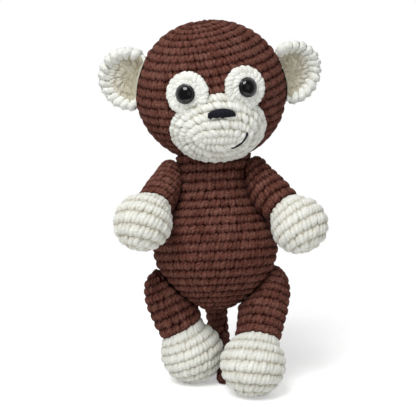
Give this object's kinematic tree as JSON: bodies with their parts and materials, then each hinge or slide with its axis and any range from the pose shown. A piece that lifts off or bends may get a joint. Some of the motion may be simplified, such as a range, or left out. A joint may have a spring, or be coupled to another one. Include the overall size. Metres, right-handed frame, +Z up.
{
  "type": "crocheted toy monkey",
  "caption": "Small crocheted toy monkey in brown and cream yarn, with glossy black eyes, round cupped ears, ball hands and feet, and a curled tail.",
  "frame": {"origin": "on the floor, below the middle of the toy", "axes": "+Z up, the face looks along -Y, the toy's own left side is +X"},
  "size_m": [0.12, 0.0946, 0.194],
  "materials": {
    "brown_yarn": "matte cotton yarn, chocolate brown",
    "cream_yarn": "matte cotton yarn, warm off-white",
    "fibre_fill": "white polyester fibre fill",
    "black_eye": "polished black plastic",
    "washer": "natural white plastic",
    "dark_thread": "blue-black embroidery thread"
  },
  "bodies": {
    "torso": {"torso_cover": "brown_yarn", "torso_stuffing": "fibre_fill", "shoulder_seam_left": "brown_yarn", "shoulder_seam_right": "brown_yarn", "hip_seam_left": "brown_yarn", "hip_seam_right": "brown_yarn", "tail_seam": "brown_yarn"},
    "neck": {"neck_seam": "brown_yarn"},
    "head": {"head_cover": "brown_yarn", "head_stuffing": "fibre_fill", "muzzle_cover": "cream_yarn", "muzzle_stuffing": "fibre_fill", "eye_patch_left": "cream_yarn", "eye_patch_right": "cream_yarn", "safety_eye_left": "black_eye", "safety_eye_right": "black_eye", "eye_washer_left": "washer", "eye_washer_right": "washer", "nose_stitches": "dark_thread", "mouth_stitch": "dark_thread"},
    "arm_left": {"arm_cover_left": "brown_yarn", "hand_cover_left": "cream_yarn", "arm_stuffing_left": "fibre_fill"},
    "arm_right": {"arm_cover_right": "brown_yarn", "hand_cover_right": "cream_yarn", "arm_stuffing_right": "fibre_fill"},
    "leg_left": {"leg_cover_left": "brown_yarn", "foot_cover_left": "cream_yarn", "leg_stuffing_left": "fibre_fill"},
    "leg_right": {"leg_cover_right": "brown_yarn", "foot_cover_right": "cream_yarn", "leg_stuffing_right": "fibre_fill"},
    "tail_body": {"tail": "brown_yarn"},
    "ear_left_body": {"ear_left": "cream_yarn"},
    "ear_right_body": {"ear_right": "cream_yarn"}
  },
  "joints": [
    {"name": "neck_turn", "type": "hinge", "parent": "torso", "child": "neck", "pos_m": [-0.00015, 0.00915, 0.15585], "axis": [-0.0253, 0.1305, 0.9911], "range_deg": [-20, 20], "stiffness_Nm_per_rad": 0.04},
    {"name": "neck_nod", "type": "hinge", "parent": "neck", "child": "head", "pos_m": [-0.00015, 0.00915, 0.15585], "axis": [0.997, 0.0651, 0.0406], "range_deg": [-20, 4], "stiffness_Nm_per_rad": 0.08},
    {"name": "ear_left", "type": "hinge", "parent": "head", "child": "ear_left_body", "pos_m": [0.03906, 0.01174, 0.16632], "axis": [-0.2685, -0.2017, 0.9419], "range_deg": [-20, 20], "stiffness_Nm_per_rad": 0.01},
    {"name": "ear_right", "type": "hinge", "parent": "head", "child": "ear_right_body", "pos_m": [-0.04008, 0.00657, 0.1631], "axis": [0.2152, -0.1701, 0.9616], "range_deg": [-20, 20], "stiffness_Nm_per_rad": 0.01},
    {"name": "shoulder_left", "type": "hinge", "parent": "torso", "child": "arm_left", "pos_m": [0.025, -0.00233, 0.11461], "axis": [-0.526, -0.8079, 0.2657], "range_deg": [0, 70]},
    {"name": "shoulder_right", "type": "hinge", "parent": "torso", "child": "arm_right", "pos_m": [-0.02311, -0.00248, 0.11341], "axis": [-0.4909, 0.6348, -0.5968], "range_deg": [0, 70]},
    {"name": "hip_left", "type": "hinge", "parent": "torso", "child": "leg_left", "pos_m": [0.02971, -0.0046, 0.05138], "axis": [-0.7738, 0.0827, 0.628], "range_deg": [-8, 80]},
    {"name": "hip_right", "type": "hinge", "parent": "torso", "child": "leg_right", "pos_m": [-0.02463, -0.00478, 0.05001], "axis": [-0.7408, -0.0877, -0.666], "range_deg": [-20, 80]},
    {"name": "tail_lift", "type": "hinge", "parent": "torso", "child": "tail_body", "pos_m": [0.0025, 0.0275, 0.04786], "axis": [0.9997, 0.0033, 0.0251], "range_deg": [0, 60]}
  ]
}
